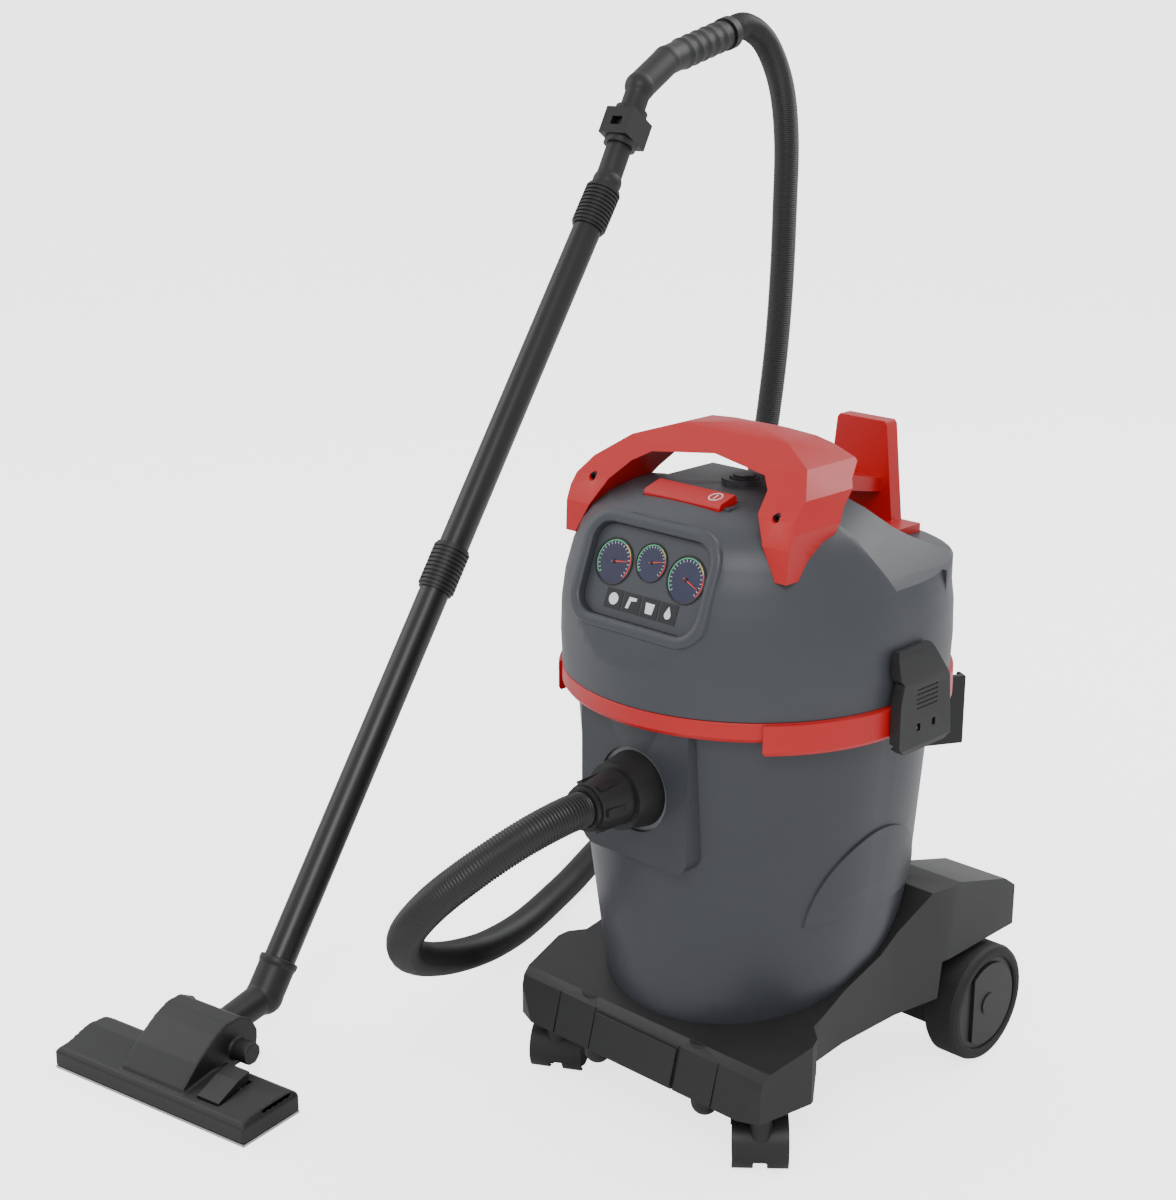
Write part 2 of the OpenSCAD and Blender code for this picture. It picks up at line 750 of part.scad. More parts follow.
pleats = 40;
module filter_cartridge() {
    z1 = rim_z + seal_h + base_gap;
    r_out = 86;
    color("ivory") translate([0, 0, z1 - 128]) difference() {
        union() {
            linear_extrude(128) polygon([for (i = [0 : 2 * pleats - 1])
                (i % 2 == 0 ? r_out : r_out - 9) * [cos(180 * i / pleats), sin(180 * i / pleats)]]);
            cylinder(r = r_out + 2, h = 6);
            translate([0, 0, 122]) cylinder(r = r_out + 2, h = 6);
        }
        translate([0, 0, 4]) cylinder(r = 56, h = 130);
    }
}

// ---- Wand: its vertical plane starts at the foot of the tubes ----

wand_foot = [-451, -310, 0];
wand_turn = 99;
wand_lift = 51.35;
foot_z = 82;

// Points of the bent hand tube in the wand's plane: run, height.
hand_start = [cos(wand_lift) * (2 * tube_l + 4), foot_z + sin(wand_lift) * (2 * tube_l + 4)];
hand_root = [cos(wand_lift) * (2 * tube_l + 42), foot_z + sin(wand_lift) * (2 * tube_l + 42)];
hand_knee = [760, 1055];
hand_heel = [824, 1086];
hand_end = [970, 1115];
grip_lift = atan2(hand_end[1] - hand_heel[1], hand_end[0] - hand_heel[0]);
grip_end_dir = [-cos(wand_turn) * cos(grip_lift), -sin(wand_turn) * cos(grip_lift), -sin(grip_lift)];

// ---- Hose: route points, tangents and the swept tube ----

route = [
    [0, -251, 400], [0, -285, 400], [-10, -330, 388], [-35, -370, 360], [-72, -395, 320],
    [-115, -393, 272], [-155, -360, 225], [-190, -308, 186], [-222, -250, 154],
    [-254, -190, 126], [-288, -128, 100], [-322, -66, 78], [-358, -2, 58], [-394, 62, 42],
    [-430, 130, 30], [-464, 200, 22], [-496, 272, 21], [-524, 344, 25], [-548, 418, 42],
    [-567, 492, 75], [-583, 562, 122], [-597, 628, 185], [-608, 684, 262], [-616, 730, 350],
    [-622, 768, 445], [-627, 796, 545], [-630, 816, 650], [-632, 827, 755], [-633, 831, 860],
    [-631, 828, 960], [-628, 808, 1040], [-621, 762, 1100], [-612, 704, 1125], [-604, 654, 1116]];
ring_step = 2;
sides = 10;

function unit(v) = v / norm(v);
function spline(a, b, c, d, t) =
    0.5 * (2 * b + (c - a) * t + (2 * a - 5 * b + 4 * c - d) * t * t
        + (3 * b - 3 * c + d - a) * t * t * t);
function knot(i) =
    i < 0 ? 2 * route[0] - route[1]
    : i > len(route) - 1 ? 2 * route[len(route) - 1] - route[len(route) - 2]
    : route[i];
path = [for (i = [0 : len(route) - 2], j = [0 : ring_step - 1])
        spline(knot(i - 1), knot(i), knot(i + 1), knot(i + 2), j / ring_step),
    route[len(route) - 1]];
function tangent(i) =
    i == 0 ? [0, -1, 0]
    : i == len(path) - 1 ? unit(grip_end_dir)
    : unit(path[i + 1] - path[i - 1]);
// Each ring turns the last one's side vector with the path, so the tube never twists.
function carry(s, t) = unit(s - (s * t) * t);
function side_at(i) = i == 0 ? [1, 0, 0] : carry(side_at(i - 1), tangent(i));
frames = [for (i = 0, s = [1, 0, 0]; i < len(path); i = i + 1,
        s = i < len(path) ? carry(s, tangent(i)) : s) s];
function rim(i, r) = [for (k = [0 : sides - 1])
    path[i] + r * (cos(360 * k / sides) * frames[i]
        + sin(360 * k / sides) * cross(tangent(i), frames[i]))];

module hose() {
    n = len(path);
    pts = concat([for (i = [0 : n - 1]) each rim(i, hose_d / 2)],
        [for (i = [0 : n - 1]) each rim(i, hose_bore / 2)]);
    m = n * sides;
    color(black) polyhedron(pts, concat(
        [for (i = [0 : n - 2], k = [0 : sides - 1])
            [i * sides + k, i * sides + (k + 1) % sides,
                (i + 1) * sides + (k + 1) % sides, (i + 1) * sides + k]],
        [for (i = [0 : n - 2], k = [0 : sides - 1])
            [m + (i + 1) * sides + k, m + (i + 1) * sides + (k + 1) % sides,
                m + i * sides + (k + 1) % sides, m + i * sides + k]],
        [for (k = [0 : sides - 1]) [k, m + k, m + (k + 1) % sides, (k + 1) % sides]],
        [for (k = [0 : sides - 1], a = [(n - 1) * sides])
            [a + (k + 1) % sides, m + a + (k + 1) % sides, m + a + k, a + k]]));
}

module hose_cuff() {
    color(black) translate([0, 0, inlet_z]) difference() {
        union() {
            along_y(-panel_face + 3.5) rotate([180, 0, 0]) cylinder(r1 = 41, r2 = 36, h = 32);
            along_y(-panel_face - 28) rotate([180, 0, 0]) cylinder(r1 = 30, r2 = 25, h = 42);
            along_y(-panel_face - 70) rotate([180, 0, 0]) ring(23, hose_d / 2 + 0.4, 6);
            along_y(-panel_face + 3.4) cylinder(r = socket_r - 4 - fit_gap, h = 28);
            for (a = [0 : 60 : 300])
                rotate([0, a, 0]) translate([24, -panel_face - 66, -4]) cube([4.5, 38, 8]);
        }
        along_y(-panel_face - 90) cylinder(r = hose_bore / 2, h = 200);
    }
}

// ---- Wand pieces ----

module wand_plane() { translate(wand_foot) rotate([0, 0, wand_turn]) children(); }
module on_tube(x) {
    wand_plane() translate([0, 0, foot_z]) rotate([0, -wand_lift, 0])
        translate([x, 0, 0]) rotate([0, 90, 0]) children();
}

// A straight piece from point a to point b of the wand's plane.
module span(a, b, r1, r2) {
    wand_plane() translate([a[0], 0, a[1]])
        rotate([0, 90 - atan2(b[1] - a[1], b[0] - a[0]), 0])
            cylinder(r1 = r1, r2 = r2, h = norm(b - a));
}
module ball(a, r) { wand_plane() translate([a[0], 0, a[1]]) sphere(r = r); }

slide_r = tube_r - 2;
plug_r = slide_r - 1;

module handle_tube() {
    color(black) difference() {
        union() {
            span(hand_start, hand_root, tube_r, tube_r);
            ball(hand_root, tube_r + 0.6);
            span(hand_root, hand_knee, slide_r, slide_r);
            ball(hand_knee, tube_r + 1.6);
            span(hand_knee, hand_heel, tube_r + 1, tube_r + 1);
            ball(hand_heel, tube_r + 1.6);
            span(hand_heel, hand_end, tube_r + 1, tube_r + 1);
            for (i = [0 : 4])
                on_grip(30 + 22 * i) cylinder(r1 = tube_r + 1, r2 = tube_r + 3.5, h = 9);
            for (i = [0 : 4])
                on_grip(39 + 22 * i) cylinder(r1 = tube_r + 3.5, r2 = tube_r + 1, h = 9);
        }
        span(hand_start - [1, 1], hand_root, tube_r - 3.5, tube_r - 3.5);
        ball(hand_root, tube_r - 3);
        span(hand_root, hand_knee, slide_r - 3, slide_r - 3);
        ball(hand_knee, slide_r - 2.5);
        span(hand_knee, hand_heel, slide_r - 3, slide_r - 3);
        ball(hand_heel, slide_r - 2.5);
        span(hand_heel, hand_end, slide_r - 3, slide_r - 3);
        on_grip(norm(hand_end - hand_heel) - 24) cylinder(r = plug_r, h = 30);
    }
}

module on_grip(s) {
    wand_plane() translate([hand_heel[0], 0, hand_heel[1]])
        rotate([0, 90 - grip_lift, 0]) translate([0, 0, s]) children();
}

module hose_end_collar() {
    s = norm(hand_end - hand_heel);
    color(black) difference() {
        union() {
            on_grip(s + 0.5) cylinder(r = 23, h = 14);
            on_grip(s - 22) cylinder(r = plug_r - fit_gap, h = 23);
        }
        on_grip(s - 30) cylinder(r = plug_r - 3, h = 50);
        on_grip(s + 5.4) cylinder(r = hose_d / 2 + 0.9, h = 40);
    }
}

slide_at = 52;

module air_slide() {
    color(black) wand_plane() translate([hand_root[0], 0, hand_root[1]])
        rotate([0, 90 - atan2(hand_knee[1] - hand_root[1], hand_knee[0] - hand_root[0]), 0])
            translate([0, 0, slide_at]) difference() {
                union() {
                    translate([-25, -22, 8]) cube([50, 44, 38]);
                    cylinder(r = 22, h = 54);
                }
                translate([0, 0, -1]) cylinder(r = slide_r + fit_gap, h = 60);
                translate([-30, -8, 20]) cube([20, 16, 12]);
            }
}

module wand_tube(x0) {
    on_tube(x0) ring(tube_r, tube_r - tube_wall, tube_l);
}

module ribbed_sleeve(x0) {
    ribs = 10;
    pitch = (sleeve_l - 5) / ribs;
    on_tube(x0) difference() {
        union() {
            cylinder(r = tube_r + 2.6, h = sleeve_l);
            for (i = [0 : ribs - 1])
                translate([0, 0, 4 + i * pitch]) cylinder(r = tube_r + 4.5, h = 0.55 * pitch);
        }
        translate([0, 0, -1]) cylinder(r = tube_r, h = sleeve_l / 2 + 1);
        translate([0, 0, sleeve_l / 2 - 0.5]) cylinder(r = tube_r + fit_gap, h = sleeve_l);
    }
}

module lower_tube() { color(black) wand_tube(0); }
module sleeve_lower() { color(black) ribbed_sleeve(tube_l - sleeve_l / 2); }
module upper_tube() { color(black) wand_tube(tube_l + 1.5); }
module sleeve_upper() { color(black) ribbed_sleeve(2 * tube_l + 1.5 - sleeve_l / 2); }

// ---- Floor nozzle: x is its width, -y its front ----

nozzle_at = [-427, -475, 0];
nozzle_turn = 9;
pivot_y = 52;
pivot_z = 44;
front_y = -nozzle_d / 2;

module at_nozzle() { translate(nozzle_at) rotate([0, 0, nozzle_turn]) children(); }

// Elbow of the neck in the wand's plane, and the tilting pivot seen there.
elbow = [cos(wand_lift) * -34, foot_z - sin(wand_lift) * 34];
pivot_run = pivot_y - 167;

module nozzle_neck() {
    color(black) difference() {
        union() {
            on_tube(-34) cylinder(r = tube_r + 3, h = 46);
            on_tube(4) cylinder(r = tube_r + 4.5, h = 8);
            ball(elbow, tube_r + 3.6);
            span([pivot_run, pivot_z], elbow, tube_r - 2, tube_r);
            at_nozzle() translate([0, pivot_y, pivot_z]) along_x(-27) cylinder(r = barrel_r, h = 54);
        }
        on_tube(-1) cylinder(r = tube_r + fit_gap, h = 40);
        on_tube(-34) cylinder(r = tube_r - 3, h = 40);
        ball(elbow, tube_r - 2.5);
        span([pivot_run - 60, pivot_z - 7], elbow, tube_r - 5, tube_r - 5);
        at_nozzle() translate([0, pivot_y, pivot_z]) along_x(-40) cylinder(r = 4 + fit_gap, h = 80);
    }
}

module neck_pin() {
    color("silver") at_nozzle() translate([0, pivot_y, pivot_z]) along_x(-44) cylinder(r = 4, h = 112);
}

module nozzle_body() {
    w = nozzle_w;
    color(black) at_nozzle() difference() {
        union() {
            difference() {
                side_bar(w, [[front_y, 3], [front_y, 21], [front_y + 5, 26], [10, 34],
                    [-front_y - 10, 32], [-front_y, 25], [-front_y, 3]]);
                side_bar(w - 8, [[front_y + 4, -1], [front_y + 4, 19], [front_y + 7, 22], [10, 30],
                    [-front_y - 11, 28], [-front_y - 4, 22], [-front_y - 4, -1]]);
                for (x = [-1, 1])
                    translate([x * (w / 2), 0, 27]) rotate([0, 45, 0]) cube([7, 200, 7], center = true);
            }
            // cover that rises to the barrel, with two cheeks
            difference() {
                side_bar(96, [[front_y + 10, 26], [front_y + 10, 30], [-10, 52], [20, 72], [40, 80],
                    [60, 80], [78, 70], [86, 52], [84, 36], [70, 24], [-front_y - 4, 22], [0, 22]]);
                side_bar(84, [[front_y + 14, 20], [front_y + 14, 28], [-8, 48], [22, 68], [41, 75.5],
                    [59, 75.5], [100, 75.5], [100, 10], [0, 10]]);
            }
            for (x = [-1, 1])
                translate([x * 37.5, pivot_y, pivot_z]) along_x(-6.5) cylinder(r = 20, h = 13);
            translate([44, pivot_y, pivot_z]) along_x(0) cylinder(r = 13, h = 28);
        }
        translate([0, pivot_y, pivot_z]) along_x(-28) cylinder(r = barrel_r + 1, h = 56);
        translate([0, pivot_y, pivot_z]) along_x(-44) cylinder(r = 4, h = 112);
        translate([-28, pivot_y, -2]) cube([56, 60, pivot_z + 34]);
        // pedal slot and pin bore
        translate([pedal_x - 1, front_y + 14, 20]) cube([pedal_w + 2, 52, 30]);
        translate([0, pedal_y, pedal_z]) along_x(pedal_x - 12) cylinder(r = 2, h = pedal_w + 24);
    }
}

module nozzle_sole() {
    color("silver") at_nozzle() difference() {
        translate([-nozzle_w / 2, front_y, 0]) cube([nozzle_w, nozzle_d, 3]);
        translate([-nozzle_w / 2 + 18, -13, -1]) cube([nozzle_w - 36, 18, 6]);
        for (y = [front_y + 7, -front_y - 13])
            translate([-nozzle_w / 2 + 12, y, -1]) cube([nozzle_w - 24, 6, 6]);
        for (x = [-1, 1])
            translate([x * 110 - 9, 15, -1]) cube([18, 14, 6]);
    }
}

module brush_strips() {
    color([0.2, 0.2, 0.2]) at_nozzle()
        for (y = [front_y + 7.5, -front_y - 12.5])
            translate([-nozzle_w / 2 + 13, y, 0.4]) cube([nozzle_w - 26, 5, 16]);
}

module nozzle_wheels() {
    color([0.1, 0.1, 0.1]) at_nozzle()
        for (x = [-1, 1])
            translate([x * 110, 22, 6.2]) along_x(-7) cylinder(r = 6, h = 14);
}

pedal_x = 66;
pedal_w = 32;
pedal_y = 6;
pedal_z = 30;

module pedal() {
    color([0.2, 0.2, 0.21]) at_nozzle() difference() {
        side_bar_at(pedal_x + pedal_w / 2, pedal_w, [[front_y + 15, 24], [front_y + 15, 29],
            [pedal_y - 4, 42], [pedal_y + 14, 46], [pedal_y + 14, 40], [pedal_y + 4, 25]]);
        translate([0, pedal_y, pedal_z]) along_x(0) cylinder(r = 2 + fit_gap, h = 200);
    }
}

module pedal_pin() {
    color("silver") at_nozzle() translate([0, pedal_y, pedal_z])
        along_x(pedal_x - 8) cylinder(r = 2, h = pedal_w + 16);
}

translate(place) chassis();
translate(place) skirt_panel();
translate(place) anti_tip_feet();
translate(place) rear_axle();
translate(place) wheel_left();
translate(place) wheel_right();
translate(place) tyre_left();
translate(place) tyre_right();
translate(place) caster_fork_left();
translate(place) caster_fork_right();
translate(place) caster_wheels_left();
translate(place) caster_wheels_right();
translate(place) tank();
translate(place) rim_ring();
translate(place) rim_seal();
translate(place) inlet_socket();
translate(place) inlet_deflector();
translate(place) parking_bracket();
translate(place) latch_left();
translate(place) latch_right();
translate(place) latch_pins();
translate(place) head_cover();
translate(place) head_base();
translate(place) control_panel();
translate(place) switch_body();
translate(place) switch_rocker();
translate(place) vent_cap();
translate(place) cord_gland();
translate(place) handle();
translate(place) hook_post();
translate(place) handle_screws();
translate(place) motor();
translate(place) fan_housing();
translate(place) fan_rotor();
translate(place) float_cage();
translate(place) float_disc();
translate(place) filter_cartridge();
translate(place) hose_cuff();
translate(place) hose();
translate(place) hose_end_collar();
translate(place) handle_tube();
translate(place) air_slide();
translate(place) upper_tube();
translate(place) sleeve_upper();
translate(place) lower_tube();
translate(place) sleeve_lower();
translate(place) nozzle_neck();
translate(place) neck_pin();
translate(place) nozzle_body();
translate(place) nozzle_sole();
translate(place) brush_strips();
translate(place) nozzle_wheels();
translate(place) pedal();
translate(place) pedal_pin();
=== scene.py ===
import json
import math

import bmesh
import bpy
from mathutils import Euler, Matrix, Vector


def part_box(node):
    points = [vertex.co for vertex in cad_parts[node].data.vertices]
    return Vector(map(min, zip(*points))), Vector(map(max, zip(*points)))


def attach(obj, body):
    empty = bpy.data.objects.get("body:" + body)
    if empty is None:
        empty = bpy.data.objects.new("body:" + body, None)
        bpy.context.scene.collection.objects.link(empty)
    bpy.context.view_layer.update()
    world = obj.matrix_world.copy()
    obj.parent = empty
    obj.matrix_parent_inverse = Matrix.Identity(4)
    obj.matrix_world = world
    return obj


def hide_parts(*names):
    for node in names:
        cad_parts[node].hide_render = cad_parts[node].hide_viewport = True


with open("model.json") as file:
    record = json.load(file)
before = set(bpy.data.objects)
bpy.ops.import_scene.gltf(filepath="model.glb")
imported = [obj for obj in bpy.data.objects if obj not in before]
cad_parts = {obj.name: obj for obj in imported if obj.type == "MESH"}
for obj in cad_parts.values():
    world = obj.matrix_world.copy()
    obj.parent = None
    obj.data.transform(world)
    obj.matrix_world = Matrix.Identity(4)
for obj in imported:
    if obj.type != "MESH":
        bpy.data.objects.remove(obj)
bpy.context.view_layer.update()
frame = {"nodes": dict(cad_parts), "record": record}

bl_info = {
    "name": "Shop Vacuum",
    "version": (1, 0, 0),
    "blender": (4, 5, 0),
    "location": "3D View > Sidebar > Shop Vacuum",
    "description": "Finishes a shop vacuum: moulded shells, corrugated hose, gauges and wand",
    "category": "Object",
}

NODES = frame["nodes"]
SLOT_OF = {part["node"]: part["material_slot"] for part in frame["record"]["subparts"]}
BODY_OF = {
    node: body
    for body, nodes in frame["record"]["behaviour"]["bodies"].items()
    for node in nodes
}

# The machine's own origin, under the front of the tank, in the frame.
PLACE = Vector((0.20275, -0.0557, 0.0))

# Centreline of the hose from the cuff to the hand tube, in metres, before PLACE.
HOSE_ROUTE = [
    (0, -0.251, 0.4), (0, -0.285, 0.4), (-0.01, -0.33, 0.388), (-0.035, -0.37, 0.36),
    (-0.072, -0.395, 0.32), (-0.115, -0.393, 0.272), (-0.155, -0.36, 0.225),
    (-0.19, -0.308, 0.186), (-0.222, -0.25, 0.154), (-0.254, -0.19, 0.126),
    (-0.288, -0.128, 0.1), (-0.322, -0.066, 0.078), (-0.358, -0.002, 0.058),
    (-0.394, 0.062, 0.042), (-0.43, 0.13, 0.03), (-0.464, 0.2, 0.022),
    (-0.496, 0.272, 0.021), (-0.524, 0.344, 0.025), (-0.548, 0.418, 0.042),
    (-0.567, 0.492, 0.075), (-0.583, 0.562, 0.122), (-0.597, 0.628, 0.185),
    (-0.608, 0.684, 0.262), (-0.616, 0.73, 0.35), (-0.622, 0.768, 0.445),
    (-0.627, 0.796, 0.545), (-0.63, 0.816, 0.65), (-0.632, 0.827, 0.755),
    (-0.633, 0.831, 0.86), (-0.631, 0.828, 0.96), (-0.628, 0.808, 1.04),
    (-0.621, 0.762, 1.1), (-0.612, 0.704, 1.125), (-0.604, 0.654, 1.116),
]

PANEL_TILT = math.radians(21)
PANEL_FACE = 0.00075  # the panel's front face, from its middle
TILE_WIDE, TILE_HIGH, TILE_GAP, TILE_ROW = 0.0225, 0.0205, 0.0022, -0.0285

# The printed mark on the rocker: a ring and a bar of one thickness.
PRINT = 0.0004
RING_IN, RING_OUT = 0.0066, 0.0078
BAR_HALF_WIDE, BAR_HALF_LONG = 0.0006, 0.004
MARK_ACROSS = 0.84  # of the rocker's width
MARK_SINK = 0.0029  # below the rocker's highest edge
ROCKER_SLOPE = math.radians(15.3)


# ---- Settings ----

def colour(name, description, default):
    return bpy.props.FloatVectorProperty(
        name=name, description=description, subtype="COLOR", size=3, min=0, max=1, default=default)


def length(name, description, default):
    return bpy.props.FloatProperty(
        name=name, description=description, unit="LENGTH", default=default, min=0, precision=4)


class ShopVacColours(bpy.types.PropertyGroup):
    shell: colour("Shell", "Colour of the motor head", (0.046, 0.05, 0.058))
    tank: colour("Tank", "Colour of the tank", (0.034, 0.037, 0.045))
    red: colour("Signal red", "Colour of rim, handle and switch", (0.5, 0.006, 0.007))
    black: colour("Black", "Colour of chassis, latches and wand", (0.009, 0.009, 0.0095))
    rubber: colour("Rubber", "Colour of tyres and seals", (0.008, 0.008, 0.008))
    pale: colour("Pale plastic", "Colour of the inlet socket and float", (0.15, 0.155, 0.165))
    dial: colour("Dial", "Colour of the gauge faces", (0.012, 0.014, 0.05))
    floor: colour("Floor", "Colour of the studio floor", (0.93, 0.93, 0.93))


class ShopVacSizes(bpy.types.PropertyGroup):
    hose_diameter: length("Hose diameter", "Outer diameter of the hose", 0.038)
    hose_bore: length("Hose bore", "Inner diameter of the hose", 0.032)
    hose_pitch: length("Rib pitch", "Distance from one hose rib to the next", 0.0034)
    large_dial: length("Large dial", "Diameter of the two outer gauges", 0.05)
    small_dial: length("Small dial", "Diameter of the middle gauge", 0.041)
    shell_edge: length("Shell edge", "Width of the rounding on the shells", 0.0025)


# ---- Meshes ----

def new_piece(name, mesh, body, slot, *materials):
    """An object of this mesh that moves with a body."""
    piece = bpy.data.objects.new(name, mesh)
    bpy.context.scene.collection.objects.link(piece)
    mesh.materials.clear()
    for material in materials:
        mesh.materials.append(material)
    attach(piece, body)
    return piece


def from_bmesh(bm, name, smooth_angle=35):
    mesh = bpy.data.meshes.new(name)
    bm.to_mesh(mesh)
    bm.free()
    mesh.shade_smooth()
    mesh.set_sharp_from_angle(angle=math.radians(smooth_angle))
    return mesh


def joined_copy(node):
    """A bmesh of a CAD node, with its loose triangles joined."""
    bm = bmesh.new()
    bm.from_mesh(NODES[node].data)
    bmesh.ops.remove_doubles(bm, verts=bm.verts, dist=0.00001)
    return bm


def finished(name, mesh, add_modifiers):
    """The mesh with the modifiers that add_modifiers puts on it made real."""
    work = bpy.data.objects.new(name + "_work", mesh)
    bpy.context.scene.collection.objects.link(work)
    add_modifiers(work)
    evaluated = work.evaluated_get(bpy.context.evaluated_depsgraph_get())
    result = bpy.data.meshes.new_from_object(evaluated)
    bpy.data.objects.remove(work)
    result.name = name
    return result


def rounded(node, width, segments=3, angle=32):
    """A CAD node again, with its sharp edges rounded."""
    bm = joined_copy(node)
    bmesh.ops.dissolve_limit(
        bm, angle_limit=math.radians(0.6), verts=bm.verts, edges=bm.edges)
    mesh = from_bmesh(bm, node + "_rounded")

    def add(work):
        edge = work.modifiers.new("edge", "BEVEL")
        edge.width = width
        edge.segments = segments
        edge.limit_method = "ANGLE"
        edge.angle_limit = math.radians(angle)
        edge.harden_normals = True
        edge.use_clamp_overlap = True
        tris = work.modifiers.new("tris", "TRIANGULATE")
        tris.keep_custom_normals = True

    result = finished(node + "_finish", mesh, add)
    result.shade_smooth()
    return finish_piece(node, result)


def moulded(node, voxel, smoothing=6):
    """A CAD node again, as one soft moulding."""
    bm = joined_copy(node)
    mesh = from_bmesh(bm, node + "_moulded")

    def add(work):
        remesh = work.modifiers.new("skin", "REMESH")
        remesh.mode = "VOXEL"
        remesh.voxel_size = voxel
        remesh.use_smooth_shade = True
        smooth = work.modifiers.new("soften", "SMOOTH")
        smooth.factor = 0.5
        smooth.iterations = smoothing

    result = finished(node + "_finish", mesh, add)
    result.shade_smooth()
    return finish_piece(node, result)


def finish_piece(node, mesh):
    slot = SLOT_OF[node]
    piece = new_piece(node + "_finish", mesh, BODY_OF[node], slot, finish(slot))
    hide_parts(node)
    return piece


def prism(outline, z0, z1):
    """A closed bmesh with this outline between two heights."""
    bm = bmesh.new()
    low = [bm.verts.new((x, y, z0)) for x, y in outline]
    high = [bm.verts.new((x, y, z1)) for x, y in outline]
    bm.faces.new(list(reversed(low)))
    bm.faces.new(high)
    n = len(outline)
    for i in range(n):
        bm.faces.new((low[i], low[(i + 1) % n], high[(i + 1) % n], high[i]))
    bmesh.ops.recalc_face_normals(bm, faces=bm.faces)
    return bm


def turned(profile, sides=48):
    """A closed bmesh turned about z from (radius, height) points."""
    bm = bmesh.new()
    rings = []
    for i in range(sides):
        a = math.tau * i / sides
        rings.append([bm.verts.new((r * math.cos(a), r * math.sin(a), z)) for r, z in profile])
    n = len(profile)
    for i in range(sides):
        here, there = rings[i], rings[(i + 1) % sides]
        for k in range(n):
            bm.faces.new((here[k], there[k], there[(k + 1) % n], here[(k + 1) % n]))
    bmesh.ops.remove_doubles(bm, verts=bm.verts, dist=0.000001)
    bmesh.ops.recalc_face_normals(bm, faces=bm.faces)
    return bm


def arc_band(r_in, r_out, start, end, z0, z1, steps=24):
    """A closed bmesh of a flat ring's part from start to end, in degrees."""
    angles = [math.radians(start + (end - start) * i / steps) for i in range(steps + 1)]
    outline = [(r_out * math.cos(a), r_out * math.sin(a)) for a in angles]
    outline += [(r_in * math.cos(a), r_in * math.sin(a)) for a in reversed(angles)]
    bm = bmesh.new()
    layers = [[bm.verts.new((x, y, z)) for x, y in outline] for z in (z0, z1)]
    n = len(outline)
    for i in range(steps):
        j = n - 1 - i
        bm.faces.new((layers[1][i], layers[1][i + 1], layers[1][j - 1], layers[1][j]))
        bm.faces.new((layers[0][j], layers[0][j - 1], layers[0][i + 1], layers[0][i]))
    for i in range(n):
        k = (i + 1) % n
        bm.faces.new((layers[0][i], layers[0][k], layers[1][k], layers[1][i]))
    bmesh.ops.recalc_face_normals(bm, faces=bm.faces)
    return bm


# ---- Finishes ----

def grain_group():
    """Fine moulded grain and slow tone changes over a surface."""
    name = "moulded_grain"
    if name in bpy.data.node_groups:
        return bpy.data.node_groups[name]
    group = bpy.data.node_groups.new(name, "ShaderNodeTree")
    for label, default in (("Grain Scale", 1400.0), ("Tone Scale", 7.0), ("Stretch", 1.0)):
        socket = group.interface.new_socket(label, in_out="INPUT", socket_type="NodeSocketFloat")
        socket.default_value = default
    for label in ("Height", "Tone", "Dust"):
        group.interface.new_socket(label, in_out="OUTPUT", socket_type="NodeSocketFloat")
    nodes, links = group.nodes, group.links
    inputs = nodes.new("NodeGroupInput")
    outputs = nodes.new("NodeGroupOutput")
    place = nodes.new("ShaderNodeTexCoord")
    stretch = nodes.new("ShaderNodeVectorMath")
    stretch.operation = "MULTIPLY"
    scales = nodes.new("ShaderNodeCombineXYZ")
    scales.inputs["X"].default_value = 1
    scales.inputs["Y"].default_value = 1
    links.new(inputs.outputs["Stretch"], scales.inputs["Z"])
    links.new(place.outputs["Object"], stretch.inputs[0])
    links.new(scales.outputs[0], stretch.inputs[1])
    grain = nodes.new("ShaderNodeTexNoise")
    grain.inputs["Detail"].default_value = 3
    links.new(stretch.outputs[0], grain.inputs["Vector"])
    links.new(inputs.outputs["Grain Scale"], grain.inputs["Scale"])
    tone = nodes.new("ShaderNodeTexNoise")
    tone.inputs["Detail"].default_value = 5
    tone.inputs["Roughness"].default_value = 0.6
    links.new(place.outputs["Object"], tone.inputs["Vector"])
    links.new(inputs.outputs["Tone Scale"], tone.inputs["Scale"])
    # dust lies on what faces up
    geometry = nodes.new("ShaderNodeNewGeometry")
    split = nodes.new("ShaderNodeSeparateXYZ")
    links.new(geometry.outputs["Normal"], split.inputs[0])
    up = nodes.new("ShaderNodeMapRange")
    up.inputs["From Min"].default_value = 0.55
    up.inputs["From Max"].default_value = 1.0
    links.new(split.outputs["Z"], up.inputs["Value"])
    dust = nodes.new("ShaderNodeMath")
    dust.operation = "MULTIPLY"
    links.new(up.outputs["Result"], dust.inputs[0])
    links.new(tone.outputs["Fac"], dust.inputs[1])
    links.new(grain.outputs["Fac"], outputs.inputs["Height"])
    links.new(tone.outputs["Fac"], outputs.inputs["Tone"])
    links.new(dust.outputs[0], outputs.inputs["Dust"])
    return group


